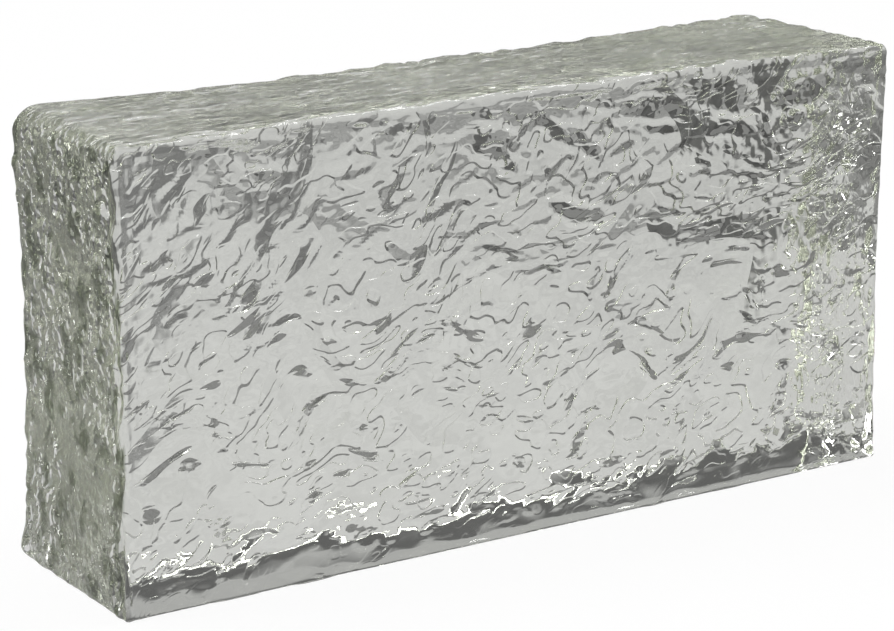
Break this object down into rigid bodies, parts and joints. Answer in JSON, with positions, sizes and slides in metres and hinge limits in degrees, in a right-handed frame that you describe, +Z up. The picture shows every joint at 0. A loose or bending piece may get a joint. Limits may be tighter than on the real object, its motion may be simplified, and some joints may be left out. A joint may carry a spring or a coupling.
{
  "type": "glass block",
  "caption": "Solid cast clear-glass building block, with one large face rippled by its mould and the other poured and smooth, laid on its long narrow side in walls and screens.",
  "frame": {"origin": "middle of the bed, the long narrow side that the block is laid on, under the centre of the block's box", "axes": "+X along the block's length, +Y from the rippled face to the poured face, +Z up"},
  "size_m": [0.1996, 0.05, 0.1006],
  "materials": {
    "clear_cast_glass": "clear cast glass with a fire-polished, rippled surface"
  },
  "bodies": {
    "root": {"glass_block": "clear_cast_glass"}
  },
  "joints": []
}
